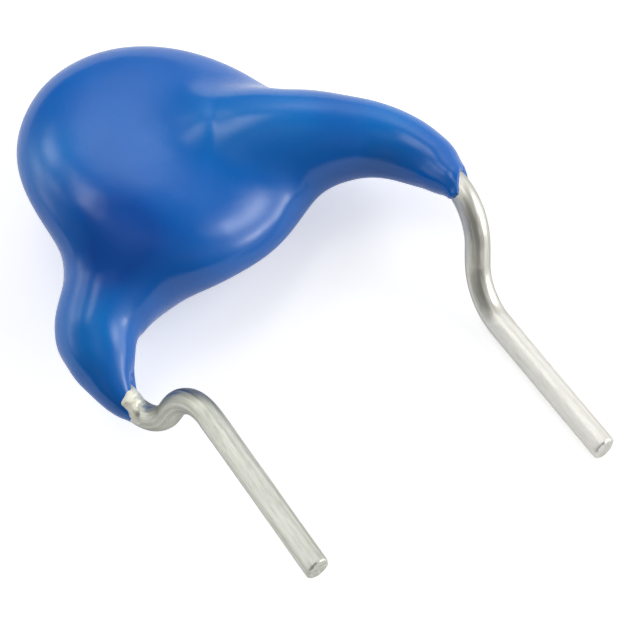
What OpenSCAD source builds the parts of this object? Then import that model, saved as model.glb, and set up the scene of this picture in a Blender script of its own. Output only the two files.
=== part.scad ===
// Ceramic disc capacitor with two kinked wire leads, dipped in a glossy insulating coat.
// A thin round plate of ceramic carries a metal film on both faces. One lead is soldered across
// each face, runs out sideways past the rim, turns down, and leaves the coat through a long
// sleeve of it. Below the sleeve each lead jogs back to the middle plane and ends in a straight
// leg. The part lies at rest on the ridge of its rear lead and on its front leg, with the leads
// towards -Y and the front face up.

/* [Leads] */
// distance between the two straight legs where they leave the jog, mm
lead_pitch = 7.5; // [5:0.5:15]
// diameter of the lead wire, mm
wire_d = 0.6; // [0.4:0.05:0.8]
// distance from the middle line to the front lead's shoulder bend, mm
front_shoulder_out = 4.0; // [3:0.05:6]
// distance from the middle line to the rear lead's shoulder bend, mm
rear_shoulder_out = 4.5; // [3:0.05:6]
// how far the front shoulder lies below the disc's middle, mm
front_shoulder_drop = 2.57; // [1:0.01:5]
// how far the rear shoulder lies below the disc's middle, mm
rear_shoulder_drop = 2.84; // [1:0.01:5]
// bend radius of a shoulder, measured to the wire's axis, mm
shoulder_bend = 2.35; // [1:0.05:3]
// how far the shoulder stands off the middle plane, mm
shoulder_offset = 1.34; // [0.9:0.01:2]
// distance from the disc's middle down to the corner where the jog starts, mm
jog_drop = 5.23; // [4:0.01:8]
// how far each lead stands off the middle plane where its jog starts, mm
jog_offset = 2.06; // [0.5:0.01:3]
// how far outside its leg each lead is where its jog starts, mm
jog_out = 0.17; // [0:0.01:0.5]
// length along the leg taken by the front lead's jog, mm
front_jog_run = 1.03; // [0.2:0.01:3]
// length along the leg taken by the rear lead's jog, mm
rear_jog_run = 0.41; // [0.2:0.01:3]
// bend radius at both ends of a jog that is long enough for it, measured to the axis, mm
jog_bend = 1.4; // [0.35:0.05:1.5]
// distance from the disc's middle down to the cut ends, mm
lead_drop = 11.15; // [8:0.05:30]
// angle by which each leg leans outwards, degrees
leg_splay = 1.9; // [0:0.1:4]
// width of the bevel left by the cutter on each lead end, mm
cut_bevel = 0.1; // [0.02:0.01:0.15]

/* [Ceramic plate] */
// diameter of the ceramic plate, mm
ceramic_d = 5.2; // [3:0.1:12]
// thickness of the ceramic plate, mm
ceramic_t = 0.9; // [0.4:0.05:2]
// bevel round the edges of the ceramic plate, mm
ceramic_bevel = 0.08; // [0.02:0.01:0.2]
// how far the plate sits off the middle line between the leads, mm
disc_shift = 0.77; // [0:0.01:2]
// diameter of the metal film on each face, mm
electrode_d = 4.4; // [2:0.1:11]
// thickness of the metal film, mm
electrode_t = 0.05; // [0.02:0.01:0.1]

/* [Solder] */
// distance from the middle line to the lead's end on the plate, mm
solder_out = 0.25; // [-1:0.05:1]
// how far the lead's end lies below the disc's middle, mm
solder_drop = 0.17; // [0:0.01:1]
// thickness of solder between the metal film and the wire, mm
solder_under = 0.05; // [0.02:0.01:0.1]
// thickness of solder over the top edge of the lead's end, mm
solder_over = 0.06; // [0.02:0.01:0.2]
// radius of the mound of solder where it meets the metal film, mm
solder_r = 0.9; // [0.6:0.05:2]
// how far the lead's end reaches past the middle of its mound, mm
solder_in = 0.3; // [0.1:0.05:0.5]

/* [Coat] */
// coat thickness on the middle of each face of the ceramic plate, mm
face_film = 0.62; // [0.2:0.01:1]
// coat thickness round the rim of the ceramic plate, mm
rim_film = 0.67; // [0.2:0.01:1]
// coat thickness over the top of a mound of solder, mm
solder_film = 0.19; // [0.1:0.01:0.5]
// coat thickness that the front sleeve tends to at the shoulder, mm
front_sleeve_film = 0.785; // [0.3:0.005:1.2]
// coat thickness that the rear sleeve tends to at the shoulder, mm
rear_sleeve_film = 1.0; // [0.3:0.005:1.2]
// share of a sleeve over which the ridge on the plate swells to the sleeve
swell = 0.45; // [0.2:0.05:0.7]
// how late a sleeve thins out towards its end; 1 gives a straight taper
taper = 2.15; // [1:0.05:4]
// coat thickness where a lead leaves its sleeve, mm
exit_film = 0.06; // [0.03:0.01:0.2]
// distance from the disc's middle down to the end of the sleeves, mm
exit_drop = 4.6; // [3:0.05:5]
// width over which the coat rounds out the corners between disc and sleeves, mm
fillet = 1.35; // [0.5:0.05:3]

/* [Resting place] */
// how far the part leans towards its front lead when it lies at rest, degrees
rest_roll = 20.1; // [0:0.1:30]
// how far the part's leads dip when it lies at rest, degrees
rest_pitch = -0.7; // [-10:0.1:10]

/* [Fineness of the coat] */
// number of sections from one sleeve end round to the other
sections = 60; // [24:4:96]
// number of points round each section
around = 44; // [16:4:64]

/* [Hidden] */
wire_r = wire_d / 2;
leg_x = lead_pitch / 2;
leg_tip_x = leg_x + (lead_drop - jog_drop - front_jog_run) * tan(leg_splay);
exit_r = wire_r + exit_film;
coat_r = ceramic_d / 2 + rim_film;
coat_half = ceramic_t / 2 + face_film;
electrode_z = ceramic_t / 2 + electrode_t;
wire_z = electrode_z + solder_under + wire_r;
disc_at = [-disc_shift, 0, 0];
bend_lap = 0.03;
bend_thinning = 0.004;

// A mound of solder is the top of a ball. The ball meets the film on a circle of radius solder_r
// and clears the top edge of the lead's end. Heights are taken from the film.
edge_h = solder_under + wire_d + solder_over;
ball_h = (edge_h * edge_h + solder_in * solder_in - solder_r * solder_r) / (2 * edge_h);
ball_r = norm([solder_r, ball_h]);
ridge_r = electrode_z + ball_h + ball_r + solder_film - wire_z;
$fn = 64;

// Values that differ between the two leads. side is 1 for the front lead and -1 for the rear one.
function shoulder_x(side) = side > 0 ? front_shoulder_out : rear_shoulder_out;
function shoulder_y(side) = side > 0 ? -front_shoulder_drop : -rear_shoulder_drop;
function jog_end_y(side) = -jog_drop - (side > 0 ? front_jog_run : rear_jog_run);
function sleeve_r(side) = wire_r + (side > 0 ? front_sleeve_film : rear_sleeve_film);

// Corners of a lead's axis: plate end, shoulder, start of the jog, end of the jog, cut end.
// The rear lead is the front one turned half round the Y axis, with its own shoulder and jog.
function corners(side) = [
    for (p = [
        [solder_out, -solder_drop, wire_z],
        [shoulder_x(side), shoulder_y(side), shoulder_offset],
        [leg_x + jog_out, -jog_drop, jog_offset],
        [leg_x, jog_end_y(side), 0],
        [leg_tip_x, -lead_drop, 0]
    ]) [side * p.x, p.y, side * p.z]
];
bend_radii = [shoulder_bend, jog_bend, jog_bend];

function unit(v) = v / norm(v);
function clip(t, most = 1) = min(max(t, 0), most);

// A bend at corner b of the path a-b-c: [centre, direction to its start, radius, angle, direction
// a quarter turn on from its start, direction of its turning axis]. The radius shrinks when a
// straight is too short for it.
function bend(a, b, c, r) =
    let (u = unit(a - b), w = unit(c - b), angle = acos(u * w),
         back = min(r / tan(angle / 2), 0.45 * norm(a - b), 0.45 * norm(c - b)),
         radius = back * tan(angle / 2),
         centre = b + unit(u + w) * radius / sin(angle / 2),
         start = unit(b + u * back - centre), axis = unit(cross(w, u)))
    [centre, start, radius, 180 - angle, cross(axis, start), axis];
function bends(side) =
    let (c = corners(side)) [for (i = [1:3]) bend(c[i - 1], c[i], c[i + 1], bend_radii[i - 1])];
function bend_point(f, turn) = f[0] + f[2] * (cos(turn) * f[1] + sin(turn) * f[4]);
function bend_start(f) = bend_point(f, 0);
function bend_end(f) = bend_point(f, f[3]);

// The sleeve ends where the lead's axis crosses the level of the exit. That is on the straight
// below the shoulder, or else on the jog's first bend, where halving finds the turn.
function exit_turn(f, low, high, steps = 24) =
    let (half = (low + high) / 2)
    steps == 0 ? half
    : bend_point(f, half).y > -exit_drop ? exit_turn(f, half, high, steps - 1)
    : exit_turn(f, low, half, steps - 1);
function exit_at(side) =
    let (f = bends(side), a = bend_end(f[0]), b = bend_start(f[1]))
    b.y < -exit_drop ? a + (b - a) * (-exit_drop - a.y) / (b.y - a.y)
    : bend_point(f[1], exit_turn(f[1], 0, f[1][3]));

// Nearest place on a straight or on a bend: [distance from p, length from its start].
function on_straight(p, a, b) =
    let (d = b - a, t = clip((p - a) * d / (d * d)))
    [norm(p - a - t * d), t * norm(d)];
function on_bend(p, f) =
    let (q = p - f[0], x = q * f[1], y = q * f[4], turn = clip(atan2(y, x), f[3]))
    [norm([x - f[2] * cos(turn), y - f[2] * sin(turn), q * f[5]]), f[2] * turn * PI / 180];

// One sleeve: [lead's end, end of its first straight, shoulder, end of the shoulder, start of
// the jog, jog's first bend, lengths up to each, length up to the exit, radius it tends to].
function sleeve(side) =
    let (start = corners(side)[0], f = bends(side), a = bend_start(f[0]), b = bend_end(f[0]),
         c = bend_start(f[1]), e = exit_at(side),
         first = norm(a - start), second = first + on_bend(b, f[0])[1],
         third = second + norm(c - b), on_jog = on_bend(e, f[1])[1],
         full = on_jog > 0 ? third + on_jog : second + norm(e - b))
    [start, a, f[0], b, c, f[1], [0, first, second, third], full, sleeve_r(side)];
front_sleeve = sleeve(1);
rear_sleeve = sleeve(-1);

// Radius of a sleeve at a length from the lead's end. It swells from the ridge on the plate to
// the shoulder and thins out to the exit.
function sleeve_radius(s, length) =
    let (t = clip(length / s[7]), ridge = clip(1 - t / swell))
    exit_r + (s[8] - exit_r) * (1 - pow(t, taper)) + (ridge_r - s[8]) * ridge * ridge;

// Distance from a point to the coat: a domed disc and the two sleeves. Where two of them are
// nearly as close as each other, the distance is lowered, which fills the corner. The disc's
// outline is (r / coat_r)^4 + (z / coat_half)^2 = 1, and the distance to it is the excess of the
// root of that sum over 1, divided by its slope.
function to_disc(p) =
    let (r = norm([p.x - disc_at.x, p.y]) / coat_r, z = p.z / coat_half,
         root = norm([r * r, z]), slope = norm([2 * r * r * r / coat_r, z / coat_half]))
    (root - 1) * root / max(slope, 0.12 * root);
function to_sleeve(p, s) =
    let (near = [on_straight(p, s[0], s[1]), on_bend(p, s[2]), on_straight(p, s[3], s[4]),
                 on_bend(p, s[5])])
    min([for (i = [0:3]) near[i][0] - sleeve_radius(s, s[6][i] + near[i][1])]);
function merge(a, b) =
    let (near = max(fillet - abs(a - b), 0))
    min(a, b) - near * near / fillet / 4;
function to_coat(p) =
    merge(merge(to_disc(p), to_sleeve(p, front_sleeve)), to_sleeve(p, rear_sleeve));

// Length of the ray from p along v to the coat's surface, found between near and far by taking
// turns at halving the range and at cutting it where a straight line crosses zero. It ends with
// the second, which is the closer guess.
function ray(p, v, near, far, at_near, at_far, steps) =
    let (t = steps % 2 == 1 ? (near + far) / 2
             : near + (far - near) * at_near / (at_near - at_far),
         d = to_coat(p + t * v))
    steps == 0 ? t
    : d < 0 ? ray(p, v, t, far, d, at_far, steps - 1)
    : ray(p, v, near, t, at_near, d, steps - 1);
function reach(p, v, far) = ray(p, v, 0, far, to_coat(p), to_coat(p + far * v), 12);

// The coat is a fan of sections about an upright axis at the level of the sleeve ends. Each
// section is a loop of rays from its own middle, which runs from one exit to the other
// through the disc. The loop is stretched sideways where it crosses the disc.
exits = [exit_at(-1), exit_at(1)];
function fan_middle(turn) =
    let (e = exits[turn < 0 ? 0 : 1], share = abs(turn) / 90,
         out = exit_drop * (1 - share * share) + abs(e.x) * share * share)
    [out * sin(turn), out * cos(turn) - exit_drop, e.z * share];
function section(turn) =
    let (m = fan_middle(turn), outwards = [sin(turn), cos(turn), 0],
         squash = 1 - 0.65 * (1 - pow(turn / 90, 2)),
         out = norm([m.x, m.y + exit_drop]))
    [for (i = [0:around - 1])
        let (a = 360 * i / around,
             v = unit(cos(a) * outwards + [0, 0, squash * sin(a)]),
             inward = -v * outwards)
        m + v * reach(m, v, min(2 * coat_r, inward > 0 ? out / inward : 2 * coat_r))];

module coat_body() {
    points = [for (k = [0:sections]) each section(-90 + 180 * k / sections)];
    last = sections * around;
    polyhedron(points, concat(
        [[for (i = [0:around - 1]) i]],
        [[for (i = [around - 1:-1:0]) last + i]],
        [for (k = [0:sections - 1], i = [0:around - 1])
            let (a = k * around + i, b = k * around + (i + 1) % around)
            [a, a + around, b]],
        [for (k = [0:sections - 1], i = [0:around - 1])
            let (a = k * around + i, b = k * around + (i + 1) % around)
            [b, a + around, b + around]]));
}

// Places its children, drawn along +Z from the origin, so that +Z turns to v.
module aim(at, v) {
    translate(at) rotate([0, acos(v.z / norm(v)), atan2(v.y, v.x)]) children();
}

// A straight of wire from a to b. It runs on by a lap into the bend at either end.
module straight(a, b, lap_a = bend_lap) {
    aim(a - unit(b - a) * lap_a, b - a) cylinder(r = wire_r, h = norm(b - a) + lap_a + bend_lap);
}

// The straight leg from a to its cut end at b. The cutter leaves a bevel round the end.
module leg(a, b) {
    h = norm(b - a) + bend_lap;
    aim(a - unit(b - a) * bend_lap, b - a) rotate_extrude() polygon([
        [0, 0], [wire_r, 0], [wire_r, h - cut_bevel], [wire_r - cut_bevel, h], [0, h]]);
}

// A bend f, drawn flat and turned into the plane of its two straights. Bending thins the wire
// by a hair, so the bend starts inside the end face of each straight.
module curve(f) {
    multmatrix([for (i = [0:2]) [f[1][i], f[4][i], f[5][i], f[0][i]]])
        rotate_extrude(angle = f[3]) translate([f[2], 0]) circle(r = wire_r - bend_thinning);
}

module lead(side) {
    p = corners(side);
    f = bends(side);
    straight(p[0], bend_start(f[0]), lap_a = 0);
    curve(f[0]);
    straight(bend_end(f[0]), bend_start(f[1]));
    curve(f[1]);
    straight(bend_end(f[1]), bend_start(f[2]));
    curve(f[2]);
    leg(bend_end(f[2]), p[4]);
}

module plate() {
    translate(disc_at) rotate_extrude() polygon([
        [0, -ceramic_t / 2],
        [ceramic_d / 2 - ceramic_bevel, -ceramic_t / 2],
        [ceramic_d / 2, -ceramic_t / 2 + ceramic_bevel],
        [ceramic_d / 2, ceramic_t / 2 - ceramic_bevel],
        [ceramic_d / 2 - ceramic_bevel, ceramic_t / 2],
        [0, ceramic_t / 2]]);
}

module metal_film(side) {
    translate(disc_at) rotate([side > 0 ? 0 : 180, 0, 0])
        translate([0, 0, ceramic_t / 2]) cylinder(d = electrode_d, h = electrode_t);
}

module mound(side) {
    p = corners(side);
    middle = p[0] + unit(p[1] - p[0]) * solder_in;
    intersection() {
        translate([middle.x, middle.y, side * (electrode_z + ball_h)]) sphere(r = ball_r);
        translate([middle.x, middle.y, side * (electrode_z + ball_r)])
            cube(2 * ball_r, center = true);
    }
}

// Lays the part down. Its lowest point comes to z = 0 and the middle of its bounds over the
// origin. The bounds are those of the disc, of rays out of the sleeves, and of the leads.
spin_y = [[cos(rest_roll), 0, sin(rest_roll)], [0, 1, 0], [-sin(rest_roll), 0, cos(rest_roll)]];
spin_x = [[1, 0, 0], [0, cos(rest_pitch), -sin(rest_pitch)], [0, sin(rest_pitch), cos(rest_pitch)]];
laid = spin_x * spin_y;
function disc_bound(v) =
    disc_at * v + max([for (t = [0:90])
        norm([v.x, v.y]) * coat_r * sqrt(cos(t)) + abs(v.z) * coat_half * sin(t)]);
function sleeve_bound(s, v) =
    max([for (i = [0:24])
        let (p = i <= 8 ? s[0] + (s[1] - s[0]) * i / 8
                 : i <= 20 ? bend_point(s[2], s[2][3] * (i - 8) / 12)
                 : s[3] + (s[4] - s[3]) * (i - 20) / 4)
        p * v + reach(p, v, 2 * coat_r)]);
function wire_bound(p, along, v) =
    p * v + wire_r * sqrt(max(1 - pow(along * v, 2), 0));
function lead_bound(side, v) =
    let (c = corners(side), f = bends(side))
    max(concat([wire_bound(c[4], unit(c[4] - c[3]), v)],
        [for (i = [1:2], turn = [0:0.05:1])
            let (t = turn * f[i][3])
            wire_bound(bend_point(f[i], t), cos(t) * f[i][4] - sin(t) * f[i][1], v)]));
function furthest(v) =
    max(disc_bound(v), sleeve_bound(front_sleeve, v), sleeve_bound(rear_sleeve, v),
        lead_bound(1, v), lead_bound(-1, v));
function bound(axis) = [-furthest(-laid[axis]), furthest(laid[axis])];

module lie() {
    x = bound(0);
    y = bound(1);
    z = bound(2);
    translate([-(x[0] + x[1]) / 2, -(y[0] + y[1]) / 2, -z[0]])
        rotate([rest_pitch, 0, 0]) rotate([0, rest_roll, 0]) children();
}

module coating() {
    color([0.1, 0.35, 0.72]) lie() difference() {
        coat_body();
        plate();
        for (side = [-1, 1]) {
            metal_film(side);
            mound(side);
            lead(side);
        }
    }
}

module ceramic_disc() {
    color([0.78, 0.7, 0.55]) lie() plate();
}

module electrode(side) {
    color([0.8, 0.8, 0.82]) lie() metal_film(side);
}

module solder(side) {
    color([0.7, 0.7, 0.7]) lie() difference() {
        mound(side);
        lead(side);
    }
}

module lead_wire(side) {
    color([0.75, 0.75, 0.7]) lie() lead(side);
}

coating();
ceramic_disc();
electrode(1);  // electrode_front
electrode(-1);  // electrode_rear
solder(1);  // solder_front
solder(-1);  // solder_rear
lead_wire(1);  // lead_front
lead_wire(-1);  // lead_rear
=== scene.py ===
import math

import bpy
import numpy as np
from mathutils import Matrix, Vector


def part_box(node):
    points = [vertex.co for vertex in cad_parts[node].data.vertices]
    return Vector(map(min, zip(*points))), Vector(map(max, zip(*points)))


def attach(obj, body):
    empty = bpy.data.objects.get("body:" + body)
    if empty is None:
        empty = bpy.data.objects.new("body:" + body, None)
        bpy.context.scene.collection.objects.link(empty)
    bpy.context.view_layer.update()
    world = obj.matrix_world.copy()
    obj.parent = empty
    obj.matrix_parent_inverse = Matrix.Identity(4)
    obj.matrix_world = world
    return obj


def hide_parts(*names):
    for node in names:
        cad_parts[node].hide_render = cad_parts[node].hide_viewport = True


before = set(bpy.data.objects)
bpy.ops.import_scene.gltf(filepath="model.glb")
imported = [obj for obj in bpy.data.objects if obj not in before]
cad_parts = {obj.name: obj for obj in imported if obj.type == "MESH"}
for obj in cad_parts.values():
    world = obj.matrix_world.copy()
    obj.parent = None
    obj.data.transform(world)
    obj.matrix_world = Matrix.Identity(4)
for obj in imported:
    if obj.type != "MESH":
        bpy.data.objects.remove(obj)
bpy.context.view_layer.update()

# The part at rest. It was drawn flat in millimetres, X across the leads, Y up the disc and Z out
# of the front face, and then laid down on the ridge of its rear lead and on its front leg. The
# packed plate says where its middle is.
REST_ROLL = math.radians(20.1)
REST_PITCH = math.radians(-0.7)
DISC_SHIFT = 0.77
MM = 0.001


def turned(roll, pitch):
    """Rotation matrix of a turn by roll about Y and then by pitch about X."""
    about_y = np.array([[math.cos(roll), 0, math.sin(roll)], [0, 1, 0],
                        [-math.sin(roll), 0, math.cos(roll)]])
    about_x = np.array([[1, 0, 0], [0, math.cos(pitch), -math.sin(pitch)],
                        [0, math.sin(pitch), math.cos(pitch)]])
    return about_x @ about_y


laid = turned(REST_ROLL, REST_PITCH)
plate_low, plate_high = (np.array(corner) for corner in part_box("ceramic_disc"))
plate_middle = (plate_low + plate_high) / 2
flat_plate_middle = np.array([-DISC_SHIFT, 0, 0])


def lie(points):
    """Places points of the flat drawing, in mm, in the row's frame, in metres."""
    return (np.asarray(points) - flat_plate_middle) @ laid.T * MM + plate_middle


def sheet_mesh(name, grid, closed_round=True, caps=True):
    """A skin over a grid of points: rows along the first index and rings along the second.
    Each end is closed by a fan of triangles to the middle of its ring."""
    rows, ring = grid.shape[:2]
    points = grid.reshape(-1, 3)
    across = ring if closed_round else ring - 1
    i, j = np.meshgrid(np.arange(rows - 1), np.arange(across), indexing="ij")
    nxt = (j + 1) % ring
    quads = np.stack([i * ring + j, (i + 1) * ring + j, (i + 1) * ring + nxt, i * ring + nxt], -1)
    faces = quads.reshape(-1, 4).tolist()
    if caps:
        first, last = len(points), len(points) + 1
        points = np.vstack([points, grid[0].mean(0), grid[-1].mean(0)])
        k = np.arange(ring)
        start = np.stack([np.full(ring, first), k, (k + 1) % ring], -1)
        end = np.stack([np.full(ring, last), (rows - 1) * ring + (k + 1) % ring,
                        (rows - 1) * ring + k], -1)
        faces += start.tolist() + end.tolist()
    mesh = bpy.data.meshes.new(name)
    mesh.from_pydata(points, [], faces)
    mesh.shade_smooth()
    mesh.update()
    piece = bpy.data.objects.new(name, mesh)
    bpy.context.scene.collection.objects.link(piece)
    return piece


class Level:
    """A value in a node tree. Arithmetic on it adds the Math nodes that work it out."""

    def __init__(self, shading, socket):
        self.shading = shading
        self.socket = socket

    def maths(self, operation, *values):
        settings = {"operation": operation}
        return self.shading.node("ShaderNodeMath", settings, dict(enumerate(values)))

    def __add__(self, other):
        return self.maths("ADD", self, other)

    def __sub__(self, other):
        return self.maths("SUBTRACT", self, other)

    def __rsub__(self, other):
        return self.maths("SUBTRACT", other, self)

    def __mul__(self, other):
        return self.maths("MULTIPLY", self, other)

    def __pow__(self, other):
        return self.maths("POWER", self, other)

    __radd__ = __add__
    __rmul__ = __mul__

    def clipped(self):
        return self.maths("MAXIMUM", self.maths("MINIMUM", self, 1.0), 0.0)


class Shading:
    """Adds nodes to a node tree. node() gives the output of the node that it adds."""

    def __init__(self, tree):
        self.tree = tree

    def join(self, value, socket):
        if isinstance(value, Level):
            self.tree.links.new(value.socket, socket)
        else:
            socket.default_value = value

    def node(self, kind, settings=None, values=None, output=0):
        """A node of this kind, with its settings made first and its sockets filled after."""
        node = self.tree.nodes.new(kind)
        for name, value in (settings or {}).items():
            setattr(node, name, value)
        for name, value in (values or {}).items():
            self.join(value, node.inputs[name])
        return Level(self, node.outputs[output])

    def noise(self, scale, detail=3.0, roughness=0.5, stretch=(1, 1, 1), place=None):
        """Noise from 0 to 1 over the place, which is stretched first; scale is per metre."""
        place = place or self.node("ShaderNodeTexCoord", output=3)
        place = self.node("ShaderNodeMapping", None, {"Vector": place, "Scale": stretch})
        return self.node("ShaderNodeTexNoise", None, {
            "Vector": place, "Scale": scale, "Detail": detail, "Roughness": roughness})

    def blend(self, share, first, second):
        """A colour that goes from the first to the second as share goes from 0 to 1."""
        return self.node("ShaderNodeMix", {"data_type": "RGBA"},
                         {0: share, 6: first, 7: second}, output=2)


class Finish(Shading):
    """A material on one Principled shader."""

    def __init__(self, name, **constants):
        self.material = bpy.data.materials.new(name)
        self.material.use_nodes = True
        super().__init__(self.material.node_tree)
        self.shader = self.tree.nodes["Principled BSDF"]
        self.set(**constants)

    def set(self, **values):
        """Sets the shader's sockets, named with _ for a space, to numbers, colours or links."""
        for name, value in values.items():
            self.join(value, self.shader.inputs[name.replace("_", " ")])

    def relief(self, height, distance, strength=1.0):
        """The normal of a surface that rises by distance, in metres, as height goes to 1."""
        normal = self.node("ShaderNodeBump", None, {
            "Height": height, "Distance": distance, "Strength": strength})
        self.set(Normal=normal)


def finish_node(name, finish):
    """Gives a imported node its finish."""
    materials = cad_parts[name].data.materials
    materials.clear()
    materials.append(finish.material)


# The plate is pressed and fired ceramic, tan and slightly speckled, with a silver film printed and
# fired on each face. It is sealed in the coat and shows only when the coat is cut away.
ceramic = Finish("fired_ceramic", Roughness=0.7)
grains = ceramic.noise(9000, detail=4)
ceramic.set(Base_Color=ceramic.blend(grains, (0.5, 0.38, 0.24, 1), (0.66, 0.55, 0.38, 1)))
ceramic.relief(grains, 4e-6)
finish_node("ceramic_disc", ceramic)

silver = Finish("fired_silver", Metallic=1.0)
mottle = silver.noise(5000, detail=5)
silver.set(Base_Color=silver.blend(mottle, (0.72, 0.70, 0.66, 1), (0.86, 0.85, 0.82, 1)),
           Roughness=0.4 + 0.25 * mottle)
for name in ("electrode_front", "electrode_rear"):
    finish_node(name, silver)

solder = Finish("cooled_solder", Metallic=1.0)
skin = solder.noise(3500, detail=3)
solder.set(Base_Color=solder.blend(skin, (0.56, 0.56, 0.57, 1), (0.74, 0.74, 0.74, 1)),
           Roughness=0.22 + 0.2 * skin)
for name in ("solder_front", "solder_rear"):
    finish_node(name, solder)


# The leads are tinned round wire, one soldered to each face. Each is bent in a former: outwards
# along the plate, down at a shoulder, and back to the middle plane in a jog. The cutter leaves
# a slightly slanting end with a rounded edge, and the drawn and dipped tin has long streaks.
WIRE_R = 0.3
SOLDERED_END = (0.25, -0.17, 0.85)
SHOULDER = {1: (4.0, -2.57, 1.34), -1: (4.5, -2.84, 1.34)}
JOG_START = (3.92, -5.23, 2.06)
JOG_END_Y = {1: -6.26, -1: -5.64}
LEG_X = 3.75
LEG_TIP_X = 3.912
LEAD_DROP = 11.15
BEND_RADII = (2.35, 1.4, 1.4)
STRAIGHT_SHARE = 0.45
RING_GAP = 0.04
WIRE_SIDES = 72
WIRE_RIPPLE = 0.006
BEND_FLAT = 0.03
CUT_SLANT = 0.03
CUT_ROUND = 0.07


def unit(v):
    """The vector over its own length."""
    return v / np.linalg.norm(v, axis=-1, keepdims=True)


class Bend:
    """An arc of a given radius that touches both straights at a corner. The radius shrinks when
    a straight is too short for it."""

    def __init__(self, before, corner, after, radius):
        u, w = unit(before - corner), unit(after - corner)
        angle = math.acos(u @ w)
        room = STRAIGHT_SHARE * min(np.linalg.norm(before - corner), np.linalg.norm(after - corner))
        back = min(radius / math.tan(angle / 2), room)
        self.radius = back * math.tan(angle / 2)
        self.turn = math.pi - angle
        self.centre = corner + unit(u + w) * self.radius / math.sin(angle / 2)
        self.out = unit(corner + u * back - self.centre)
        self.axis = unit(np.cross(w, u))
        self.on = np.cross(self.axis, self.out)

    def point(self, turn):
        turn = np.asarray(turn)[..., None]
        return self.centre + self.radius * (np.cos(turn) * self.out + np.sin(turn) * self.on)

    def nearest(self, p):
        """Distance from points to the arc, and the arc's length up to the nearest place on it."""
        q = p - self.centre
        x, y, z = q @ self.out, q @ self.on, q @ self.axis
        turn = np.clip(np.arctan2(y, x), 0, self.turn)
        gap = np.sqrt((x - self.radius * np.cos(turn)) ** 2
                      + (y - self.radius * np.sin(turn)) ** 2 + z ** 2)
        return gap, turn * self.radius


def corners(side):
    """Corners of a lead's axis. The rear one, side -1, is turned half round about Y."""
    points = [SOLDERED_END, SHOULDER[side], JOG_START,
              (LEG_X, JOG_END_Y[side], 0), (LEG_TIP_X, -LEAD_DROP, 0)]
    return np.array(points) * (side, 1, side)


def lead_bends(side):
    """The three bends of a lead: its shoulder and both ends of its jog."""
    p = corners(side)
    return [Bend(p[i], p[i + 1], p[i + 2], r) for i, r in enumerate(BEND_RADII)]


def lead_axis(side):
    """Axis of a lead: straights between the corners, with a round bend at each inner corner."""
    p = corners(side)
    arcs = [b.point(np.linspace(0, b.turn, 40)) for b in lead_bends(side)]
    return np.vstack([p[:1], *arcs, p[-1:]])


def evenly(path, gap):
    """The path's points at even steps of its length, about gap apart, with those lengths."""
    along = np.r_[0, np.cumsum(np.linalg.norm(np.diff(path, axis=0), axis=1))]
    even = np.linspace(0, along[-1], int(along[-1] / gap) + 1)
    return np.stack([np.interp(even, along, path[:, k]) for k in range(3)], -1), even


def smoothed(values, times=3):
    """Rows averaged with their neighbours, the given number of times, the end rows kept."""
    for _ in range(times):
        values = np.vstack([values[:1], (values[:-2] + 2 * values[1:-1] + values[2:]) / 4,
                            values[-1:]])
    return values


def waves(place, seed, count=12):
    """Smooth unevenness between about -1 and 1: a sum of sines along directions drawn from the
    seed, over the number of them to the power a half."""
    draw = np.random.default_rng(seed)
    ways = draw.normal(size=(count, place.shape[-1]))
    starts = draw.uniform(0, 2 * math.pi, count)
    return np.sin(place @ ways.T + starts).sum(-1) / math.sqrt(count)


def along_lead(side, sides):
    """Even steps along a lead: the axis, its length, the way ahead and a ring of spokes."""
    axis, along = evenly(lead_axis(side), RING_GAP)
    ahead = unit(smoothed(unit(np.gradient(axis, axis=0))))
    across = unit(np.array([1.0, 0, 0]) - ahead[:, :1] * ahead)
    up = np.cross(across, ahead)
    theta = np.linspace(0, 2 * math.pi, sides, endpoint=False)
    ring = across[:, None] * np.cos(theta)[:, None] + up[:, None] * np.sin(theta)[:, None]
    return axis, along, ahead, theta, ring


def wire_skin(side, seed):
    """A tube round the lead's axis. Its radius is the wire's, less a share where the wire bends
    and less where shallow streaks run along it. It stops at a slanting plane with a round edge."""
    axis, along, ahead, theta, ring = along_lead(side, WIRE_SIDES)
    bent = np.linalg.norm(np.gradient(ahead, along, axis=0), axis=1)
    place = np.stack(np.broadcast_arrays(np.cos(theta) * 3.2, np.sin(theta) * 3.2,
                                         along[:, None] * 0.9), -1)
    streaks = 0.6 * waves(place, seed) + 0.3 * waves(place * (1.7, 1.7, 4.0), seed + 1)
    flat = BEND_FLAT * np.clip(bent, 0, 1)[:, None] * np.cos(theta) ** 2
    radius = WIRE_R * (1 - flat) - WIRE_RIPPLE * (1 + streaks)
    # How far each point of the tube may reach before the cut, and the last rings' places there.
    cut = -CUT_SLANT * (1 + np.cos(theta)) - 0.01 * (1 + waves(place[-1] * 2, seed + 2))
    reach = (axis - axis[-1]) @ ahead[-1]
    body = reach < cut.min() - CUT_ROUND - RING_GAP
    rings = [axis[body][:, None] + radius[body][..., None] * ring[body]]
    places = [place[body]]
    spoke, size = ring[-1], radius[-1][:, None]
    for turn in np.radians([0, 15, 30, 45, 60, 75, 90]):
        inwards = CUT_ROUND * (1 - math.cos(turn))
        backwards = CUT_ROUND * (1 - math.sin(turn))
        depth = (cut - backwards)[:, None]
        rings.append((axis[-1] + (size - inwards) * spoke + depth * ahead[-1])[None])
        places.append(place[-1:])
    for share in (0.75, 0.5, 0.25):
        depth = (cut * share + cut.mean() * (1 - share)
                 - 0.008 * (1 - share) * (1 + waves(place[-1] * share, seed + 3)))[:, None]
        rings.append((axis[-1] + share * (size - CUT_ROUND) * spoke + depth * ahead[-1])[None])
        places.append(place[-1:] * (share, share, 1))
    return np.concatenate(rings), np.concatenate(places)


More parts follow.
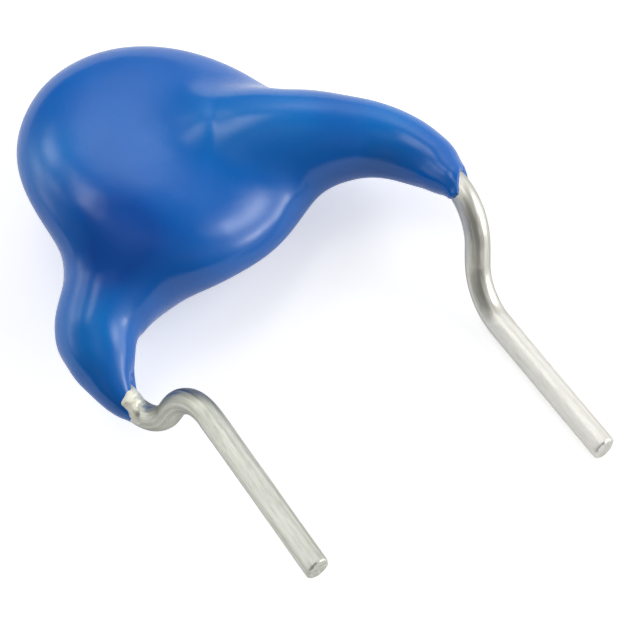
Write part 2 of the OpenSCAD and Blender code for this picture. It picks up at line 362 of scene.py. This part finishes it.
def tin_finish(name, dark, light, patches, dulling):
    """Hot-dipped tin: bright in the bends, duller down the straight leg and painted paler there as
    painted light, with streaks along the wire and darker patches."""
    tin = Finish(name, Specular_Tint=(0.5, 0.49, 0.47, 1))
    run = tin.node("ShaderNodeAttribute", {"attribute_name": "wire_run"}, output=1)
    down = tin.node("ShaderNodeSeparateXYZ", None, {"Vector": run}, output=2)
    streak = tin.noise(1.0, detail=4, roughness=0.6, stretch=(1, 1, 0.3), place=run)
    scratch = tin.noise(5.0, detail=3, roughness=0.6, stretch=(1, 1, 0.15), place=run)
    spots = tin.noise(2.4, detail=5, roughness=0.7, stretch=(0.6, 0.6, 0.9), place=run)
    # Painted light: from here down the straight leg the tin is painted paler, and it is duller.
    leg = (down - PAINTED_LIGHT_LEG_STARTS).clipped()
    dull_and_painted_light = (streak * 2.4 + spots * 2.2 - 2.1 + leg * 0.4).clipped()
    tint = tin.blend(dull_and_painted_light, dark, light)
    tin.set(Base_Color=tin.blend((spots * 3.4 - 1.9).clipped(), tint, patches),
            Metallic=0.98 - dulling * dull_and_painted_light, Roughness=0.2 + 0.14 * scratch + 0.12 * spots)
    tin.relief(streak * 0.5 + scratch * 0.2 + spots * 0.3, 24e-6)
    return tin


# Where the painted light on the straight leg begins, along the wire.
PAINTED_LIGHT_LEG_STARTS = 8.2
# Both leads are the same tin. The front's paler colours are painted light and the rear's darker colours are
# painted shade; the rear's are also greener.
tins = {1: tin_finish("painted_light_tin", (0.72, 0.71, 0.63, 1), (1.0, 0.99, 0.95, 1),
                      (0.46, 0.45, 0.38, 1), 0.5),
        -1: tin_finish("greenish_painted_shade_tin", (0.46, 0.47, 0.41, 1), (0.80, 0.81, 0.74, 1),
                       (0.40, 0.41, 0.36, 1), 0.35)}

for side, name in ((1, "lead_front"), (-1, "lead_rear")):
    skin, place = wire_skin(side, 40 + side)
    wire = sheet_mesh("wire_" + name.split("_")[1], lie(skin))
    place = np.vstack([place.reshape(-1, 3), place[0].mean(0), place[-1].mean(0)])
    run_data = wire.data.attributes.new("wire_run", "FLOAT_VECTOR", "POINT")
    run_data.data.foreach_set("vector", place.ravel())
    wire.data.materials.append(tins[side].material)
    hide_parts(name)
    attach(wire, "root")


# The coat is filled epoxy, dipped and cured to a wet gloss. Its own tension domes it over the
# plate, draws it into the corners beside the leads and thins it down each sleeve, where it ends
# in a slanting, slightly ragged lip on the wire.
COAT_R = 3.27
COAT_HALF = 1.07
RIDGE_R = 0.6
SLEEVE_R = {1: 1.085, -1: 1.3}
SWELL = 0.45
TAPER = {1: 2.15, -1: 2.5}
EXIT_R = 0.36
EXIT_DROP = 4.6
FILLET = 2.03
FURTHEST = 2 * COAT_R
UNEVEN = 0.011
LUMPS = 0.02
TURNS = 320
AROUND = 240


def on_straight(p, a, b):
    """Distance from points to the straight a-b, and the length from a to the nearest place."""
    step = b - a
    t = np.clip((p - a) @ step / (step @ step), 0, 1)
    return np.linalg.norm(p - a - t[..., None] * step, axis=-1), t * np.linalg.norm(step)


class Sleeve:
    """The coat round one lead. The exit is where the lead's axis crosses the level of the
    sleeves' ends, which is found on the jog's first bend by halving the turn."""

    def __init__(self, side):
        self.start = corners(side)[0]
        self.shoulder, self.jog, _ = lead_bends(side)
        low, high = 0.0, self.jog.turn
        for _ in range(30):
            half = (low + high) / 2
            above = self.jog.point(half)[1] > -EXIT_DROP
            low, high = (half, high) if above else (low, half)
        self.exit = self.jog.point(low)
        self.ahead = unit(math.cos(low) * self.jog.on - math.sin(low) * self.jog.out)
        first = np.linalg.norm(self.shoulder.point(0) - self.start)
        second = first + self.shoulder.radius * self.shoulder.turn
        third = second + np.linalg.norm(self.jog.point(0)
                                        - self.shoulder.point(self.shoulder.turn))
        self.starts = (0, first, second, third)
        self.length = third + self.jog.radius * low
        self.full = SLEEVE_R[side]
        self.taper = TAPER[side]

    def radius(self, along):
        """Radius at a length from the lead's end: it swells from the ridge on the plate to the
        shoulder, and thins out to the exit."""
        t = np.clip(along / self.length, 0, 1)
        ridge = np.clip(1 - t / SWELL, 0, 1) ** 2
        return EXIT_R + (self.full - EXIT_R) * (1 - t ** self.taper) + (RIDGE_R - self.full) * ridge

    def distance(self, p):
        """Distance from points to the nearest place on the axis, less the radius there."""
        near = (on_straight(p, self.start, self.shoulder.point(0)), self.shoulder.nearest(p),
                on_straight(p, self.shoulder.point(self.shoulder.turn), self.jog.point(0)),
                self.jog.nearest(p))
        gaps = np.stack([gap for gap, _ in near])
        lengths = np.stack([start + along for (_, along), start in zip(near, self.starts)])
        nearest = gaps.argmin(0)[None]
        along = np.take_along_axis(lengths, nearest, 0)[0]
        return np.take_along_axis(gaps, nearest, 0)[0] - self.radius(along)


sleeves = {side: Sleeve(side) for side in (1, -1)}


def to_disc(p):
    """Distance from points to the domed disc (r / R)^4 + (z / half)^2 = 1: the excess of the
    root of that sum over 1, divided by its slope."""
    r, z = np.hypot(p[..., 0] + DISC_SHIFT, p[..., 1]) / COAT_R, p[..., 2] / COAT_HALF
    root = np.hypot(r ** 2, z) + 1e-9
    slope = np.hypot(2 * r ** 3 / COAT_R, z / COAT_HALF) / root
    return (root - 1) / np.maximum(slope, 0.12)


def merge(a, b):
    """The lesser of two distances, lowered where they are nearly equal, which fills the corner."""
    near = np.maximum(FILLET - np.abs(a - b), 0)
    return np.minimum(a, b) - near ** 3 / FILLET ** 2 / 6


# Where the coat sagged or pulled thin as it cured: a place, how far it spreads and how thick it is.
SAGS = (((-1.5, -3.05, -0.6), 0.9, 0.08), ((-2.7, -3.0, -1.45), 0.6, -0.042),
        ((-3.6, -3.45, -1.3), 0.55, 0.109), ((0.0, 0.0, 1.4), 0.7, -0.07),
        ((-4.4, -4.4, -2.05), 0.6, 0.067), ((-4.85, -3.5, -1.9), 0.7, -0.052),
        ((-4.75, -2.4, -1.6), 0.7, 0.03), ((-4.15, -1.3, -1.1), 0.75, -0.084),
        ((-3.2, -2.0, 0.7), 1.2, -0.12), ((-3.54, 1.68, -0.15), 1.3, 0.038),
        ((-0.55, 3.12, 0.41), 1.0, 0.012), ((1.85, 1.55, 0.55), 1.0, 0.026),
        ((2.1, 0.75, 0.65), 0.9, 0.05), ((2.03, -0.22, 1.57), 0.5, -0.032),
        ((3.55, -3.5, 1.06), 0.7, 0.071), ((1.75, -2.39, 0.05), 1.0, 0.031),
        ((0.77, -2.86, -0.15), 0.9, 0.029), ((-0.9, -0.8, -1.95), 1.0, -0.014))


def to_coat(p):
    """Distance from points to the coat: the disc merged with both sleeves, thicker at the sags,
    and drawn in a little by slow waves all over and by lumps near the ends of the sleeves."""
    coat = merge(merge(to_disc(p), sleeves[1].distance(p)), sleeves[-1].distance(p))
    coat -= sum(thick * np.exp(-((p - place) ** 2).sum(-1) / spread ** 2)
                for place, spread, thick in SAGS)
    ends = sum(np.exp(-((p - sleeves[side].exit) ** 2).sum(-1) / spread ** 2)
               for side, spread in ((1, 1.1), (-1, 2.2)))
    return coat + UNEVEN * (1 + waves(p * 1.1, 7)) + LUMPS * ends * (1 + waves(p * 3.2, 8))


# The lip on each wire, in degrees of the fan short of the exit: its mean, how far it slants, the
# side it is short on, how far its two tongues reach, and their turn. The share of its thickness
# that the coat loses towards the lip follows.
LIPS = {1: (2.4, 3.0, 0.26, 1.9, 2.2), -1: (1.6, 5.8, 2.6, 2.0, 5.24)}
THINNED = {1: 0.1, -1: 0.5}
THINNED_RINGS = 30
WIRE_INNER = 0.255


def lip(angle, side):
    """How far, in degrees of the fan, the coat stops short of the exit round its ring: the mean,
    a slant, two tongues and a ragged edge."""
    mean, slant, short_side, tongues, turn = LIPS[side]
    ring = np.stack([np.cos(angle), np.sin(angle)], -1)
    ragged = 0.35 * waves(ring * 3.1, 21 + side) + 0.12 * waves(ring * 9, 31 + side)
    return mean + slant * np.cos(angle - short_side) + tongues * np.cos(2 * angle - turn) + ragged


def by_wire(points, side):
    """The places on a lead's axis nearest to points by its exit, and the way ahead there."""
    axis, along = evenly(lead_axis(side), 0.01)
    axis = axis[np.abs(along - sleeves[side].length) < 2.5]
    ahead = unit(np.gradient(axis, axis=0))
    nearest = ((points[..., None, :] - axis) ** 2).sum(-1).argmin(-1)
    axis, ahead = axis[nearest], ahead[nearest]
    return axis + ((points - axis) * ahead).sum(-1, keepdims=True) * ahead, ahead


def coat_skin():
    """The coat as a fan of rings about an upright line at the level of the exits. Ring i lies in
    the half plane at turn i, and each of its points is where a ray from the ring's middle
    leaves the coat, found by halving its range."""
    share = np.linspace(-1, 1, TURNS)
    angle = np.linspace(0, 2 * math.pi, AROUND, endpoint=False)
    short = np.where(share[:, None] > 0, lip(angle, 1), lip(angle, -1))
    turn = np.radians(90 - short * np.abs(share[:, None]) ** 6) * share[:, None]
    out_way = np.stack([np.sin(turn), np.cos(turn), 0 * turn], -1)
    part = np.abs(turn) / (math.pi / 2)
    exit_x = np.where(turn > 0, sleeves[1].exit[0], -sleeves[-1].exit[0])
    exit_z = np.where(turn > 0, sleeves[1].exit[2], sleeves[-1].exit[2])
    out = EXIT_DROP * (1 - part ** 2) + exit_x * part ** 2
    middle = out[..., None] * out_way
    middle[..., 1] -= EXIT_DROP
    middle[..., 2] = exit_z * part
    squash = 1 - 0.65 * (1 - part ** 2)
    way = np.cos(angle)[:, None] * out_way
    way[..., 2] = squash * np.sin(angle)
    way = unit(way)
    inward = -(way * out_way).sum(-1)
    near = np.zeros(turn.shape)
    far = np.where(inward > 0.01, np.minimum(FURTHEST, out / np.maximum(inward, 0.01)), FURTHEST)
    for _ in range(22):
        half = (near + far) / 2
        inside = to_coat(middle + half[..., None] * way) < 0
        near, far = np.where(inside, half, near), np.where(inside, far, half)
    skin = middle + near[..., None] * way

    def lip_rings(end, side):
        """The last rings, thinned towards the lip, and rings that round the edge over to just
        inside the wire, like a drop's edge."""
        centre, ahead = by_wire(end, side)
        spoke = end - centre
        length = np.linalg.norm(spoke, axis=-1, keepdims=True)
        thinned = THINNED[side] * np.linspace(0, 1, len(end))[:, None, None] ** 4
        thick = np.maximum(length - WIRE_INNER, 0) * (1 - thinned)
        thinner = centre + spoke / length * (WIRE_INNER + thick)
        return [*thinner, *(centre[-1] + spoke[-1] / length[-1] * (WIRE_INNER + thick[-1] * math.cos(a))
                            + ahead[-1] * math.sin(a) * 0.8 * thick[-1]
                            for a in np.radians([12, 25, 38, 50, 62, 74, 84, 90]))]

    rear = lip_rings(skin[:THINNED_RINGS][::-1], -1)[::-1]
    return np.concatenate([rear, skin[THINNED_RINGS:-THINNED_RINGS],
                           lip_rings(skin[-THINNED_RINGS:], 1)])


# Painted shade and painted light on the coat: a deep navy in the corner beside the rear sleeve,
# and a paler blue on the rim and the ridges. Places and how far each spreads.
PAINTED_SHADE_POOLS = (((-3.2, -1.2, 0.7), 0.8), ((-2.8, -2.0, 0.6), 0.8), ((-3.6, -2.1, 0.1), 0.6))
PAINTED_LIGHT_POOLS = (((-3.5, 0.9, 0.7), 0.8), ((-4.5, -2.9, -0.6), 0.9), ((0.3, -0.4, 1.6), 1.0),
           ((1.6, -1.1, 2.0), 0.8), ((3.6, -2.2, 2.2), 0.9))

coat = sheet_mesh("epoxy_coat", lie(coat_skin()))
epoxy = Finish("dipped_epoxy", IOR=1.5)
spot = epoxy.node("ShaderNodeTexCoord", output=3)


def pools(spreads):
    """The sum, over the places, of e to minus the square of the way to it over its spread."""
    total = 0.0
    for place, spread in spreads:
        away = epoxy.node("ShaderNodeVectorMath", {"operation": "DISTANCE"},
                          {0: spot, 1: tuple(lie(place))}, output=1) * (1 / (spread * MM))
        total = total + away.maths("EXPONENT", -1.0 * away * away)
    return total.clipped()


depth = epoxy.noise(420, detail=2)
ripple = epoxy.noise(800, detail=1)
peel = epoxy.noise(2600, detail=2, roughness=0.45)
specks = epoxy.noise(14000, detail=3)
blue = epoxy.blend((depth * 1.8 - 0.4).clipped(), (0.0015, 0.12, 0.50, 1), (0.002, 0.145, 0.57, 1))
# Painted light: the coat is painted a paler cyan blue on the rim and the ridges.
blue = epoxy.blend(pools(PAINTED_LIGHT_POOLS) * 0.8, blue, (0.004, 0.20, 0.64, 1))
# Painted shade: the coat is painted a deep navy in the corner beside the rear sleeve.
blue = epoxy.blend(pools(PAINTED_SHADE_POOLS) * 0.85, blue, (0.001, 0.066, 0.37, 1))
epoxy.set(Base_Color=epoxy.blend((specks * 2.5 - 1.3).clipped() * 0.25, blue, (0.002, 0.08, 0.38, 1)),
          Roughness=0.13 + 0.12 * peel)
epoxy.relief(ripple * 0.7 + depth * 0.15 + peel * 0.15, 35e-6)
coat.data.materials.append(epoxy.material)
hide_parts("coating")
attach(coat, "root")


# A crust of dried flux and thin resin sits where the rear lead leaves its sleeve: cream drops along
# the lip, and a film that wets the front of the wire and ends in a ragged line, where the bare
# wire shows again. Each drop has a turn about the wire, a place past the exit, a spread and a height.
CRUST_FROM = -0.6
CRUST_TO = 0.6
FILM_THICK = 0.045
FILM_SIDE = 250
UNDER_TIN = 0.03
DROPS = ((232, -0.2, 0.09, 0.15), (238, -0.05, 0.085, 0.14), (230, 0.08, 0.085, 0.12),
         (222, 0.2, 0.08, 0.1), (255, 0.0, 0.1, 0.06), (272, -0.3, 0.2, 0.04))


def crust_skin(side):
    """A shell round the wire by the exit, with its thickness. The film thins from the lip to its
    end and away from the side it wets, waves take it under the wire in places, and each drop
    adds its height times e to minus the square of the way to it over its spread."""
    axis, along, ahead, theta, ring = along_lead(side, 180)
    past = along - sleeves[side].length
    near = (past > CRUST_FROM) & (past < CRUST_TO)
    past = past[near, None]
    place = np.stack(np.broadcast_arrays(np.cos(theta) * 2.4, np.sin(theta) * 2.4, past * 6), -1)
    wetted = 0.5 + 0.5 * np.cos(theta - math.radians(FILM_SIDE))
    uneven = 0.8 + 0.5 * waves(place, 61) + 0.3 * waves(place * 2.3, 62)
    thick = FILM_THICK * wetted * np.clip(1 - past / CRUST_TO, 0, 1.2) * uneven
    for turn, further, spread, height in DROPS:
        round_way = (theta - math.radians(turn) + math.pi) % (2 * math.pi) - math.pi
        way = (WIRE_R * round_way) ** 2 + (past - further) ** 2
        thick = thick + height * np.exp(-way / spread ** 2)
    thick = np.clip(thick, 0, None)
    thick[0] = thick[-1] = 0
    radius = WIRE_R - UNDER_TIN + thick
    return axis[near][:, None] + radius[..., None] * ring[near], thick


skin, thick = crust_skin(-1)
crust = sheet_mesh("flux_crust", lie(skin))
thick_data = crust.data.attributes.new("crust_thick", "FLOAT", "POINT")
thick_data.data.foreach_set("value", np.r_[thick.ravel() / FILM_THICK, 0, 0])
flux = Finish("dried_flux", IOR=1.48)
crumbs = flux.noise(5200, detail=4, roughness=0.6)
deep = flux.node("ShaderNodeAttribute", {"attribute_name": "crust_thick"}, output=2)
cream = flux.blend(crumbs, (0.92, 0.89, 0.70, 1), (1.0, 0.99, 0.88, 1))
flux.set(Base_Color=flux.blend((deep - 1.0).clipped(), (0.62, 0.63, 0.55, 1), cream),
         Metallic=(1.5 - deep * 0.7).clipped() * 0.9, Roughness=0.3 + 0.3 * crumbs)
flux.relief(crumbs, 20e-6)
crust.data.materials.append(flux.material)
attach(crust, "root")


# The floor is a plain white sheet, far wider than the part. The room is dim towards the camera,
# with large soft lights to the right, behind and to the left. The camera is a long lens that
# looks down on the part's face.
FLOOR_HALF = 0.6
GLOW_MIRRORED = 0.42
floor_mesh = bpy.data.meshes.new("floor")
floor_mesh.from_pydata([(-FLOOR_HALF, -FLOOR_HALF, 0), (FLOOR_HALF, -FLOOR_HALF, 0),
                        (FLOOR_HALF, FLOOR_HALF, 0), (-FLOOR_HALF, FLOOR_HALF, 0)],
                       [], [(0, 1, 2, 3)])
floor = bpy.data.objects.new("floor", floor_mesh)
bpy.context.scene.collection.objects.link(floor)
paper = Finish("white_paper", Roughness=0.9, Emission_Strength=0.5)
rays = {name: paper.node("ShaderNodeLightPath", output=name)
        for name in ("Is Camera Ray", "Is Glossy Ray", "Is Transmission Ray")}
mirrored = (rays["Is Glossy Ray"] + rays["Is Transmission Ray"]).clipped()
seen = (rays["Is Camera Ray"] + GLOW_MIRRORED * mirrored).clipped()
paper.set(Base_Color=paper.blend(paper.noise(900, detail=4) * 0.2,
                                 (0.92, 0.92, 0.92, 1), (0.90, 0.90, 0.90, 1)),
          Emission_Color=paper.blend(seen, (0, 0, 0, 1), (1, 1, 1, 1)))
floor_mesh.materials.append(paper.material)


def from_angles(azimuth, elevation):
    """Unit vector towards a place at this azimuth, from -Y towards +X, and elevation."""
    a, e = math.radians(azimuth), math.radians(elevation)
    return np.array([math.sin(a) * math.cos(e), -math.cos(a) * math.cos(e), math.sin(e)])


def facing(position, right, back):
    """Matrix of an object at this position whose X is right and whose Z is back."""
    up = np.cross(back, right)
    matrix = np.eye(4)
    matrix[:3, 0], matrix[:3, 1], matrix[:3, 2], matrix[:3, 3] = right, up, back, position
    return Matrix(matrix.tolist())


# Each soft light: its azimuth, its elevation, how tight it is and its level in the middle.
ROOM_LEVEL = 0.09
SOFT_LIGHTS = ((72, 34, 60, 6.3), (66, 8, 12, 2.6), (50, 10, 200, 6.8), (48, 6, 25, 0.9), (46, 24, 60, 0.4),
               (22, 32, 14, 0.3), (-5, 78, 25, 0.35), (-50, 32, 14, 0.18), (110, 8, 12, 0.5),
               (130, 32, 14, 0.85), (134, 42, 60, 1.0), (160, 68, 110, 3.2), (-162, 76, 90, 3.0),
               (-178, 44, 68, 3.4), (-158, 32, 14, 0.38), (-142, 48, 90, 1.5), (-143, 28, 50, 1.8),
               (-144, 8, 12, 0.85), (-121, 14, 50, 1.3), (-122, 32, 14, 0.38))

world = bpy.data.worlds.new("studio")
world.use_nodes = True
room = Shading(world.node_tree)
way = room.node("ShaderNodeTexCoord")


def soft_light(azimuth, elevation, tightness, level):
    """The level times e to the tightness times (the cosine of the angle to its middle, less 1)."""
    towards = room.node("ShaderNodeVectorMath", {"operation": "DOT_PRODUCT"},
                        {0: way, 1: tuple(from_angles(azimuth, elevation))}, output=1)
    return level * towards.maths("EXPONENT", tightness * (towards - 1))


background = world.node_tree.nodes["Background"]
background.inputs["Color"].default_value = (1, 1, 1, 1)
room.join(sum((soft_light(*light) for light in SOFT_LIGHTS), ROOM_LEVEL),
          background.inputs["Strength"])
bpy.context.scene.world = world

# Camera values, from lining up the outline with the photograph.
CAMERA_AZIMUTH = -24.57
CAMERA_ELEVATION = 61.79
CAMERA_ROLL = math.radians(-10.03)
CAMERA_DISTANCE = 0.1667
FOCAL_PIXELS = 7391
PHOTO_PIXELS = 640
AIM = np.array([0.000681, -0.000361, -0.000481])

lens = bpy.data.cameras.new("long_lens")
lens.sensor_width = 36
lens.lens = FOCAL_PIXELS / PHOTO_PIXELS * lens.sensor_width
lens.clip_start, lens.clip_end = 0.01, 10
camera = bpy.data.objects.new("long_lens", lens)
back = from_angles(CAMERA_AZIMUTH, CAMERA_ELEVATION)
level_right = unit(np.cross((0, 0, 1), back))
right = level_right * math.cos(CAMERA_ROLL) + np.cross(back, level_right) * math.sin(CAMERA_ROLL)
camera.matrix_world = facing(AIM + back * CAMERA_DISTANCE, right, back)
bpy.context.scene.collection.objects.link(camera)
bpy.context.scene.camera = camera
bpy.context.scene.view_settings.view_transform = "Standard"
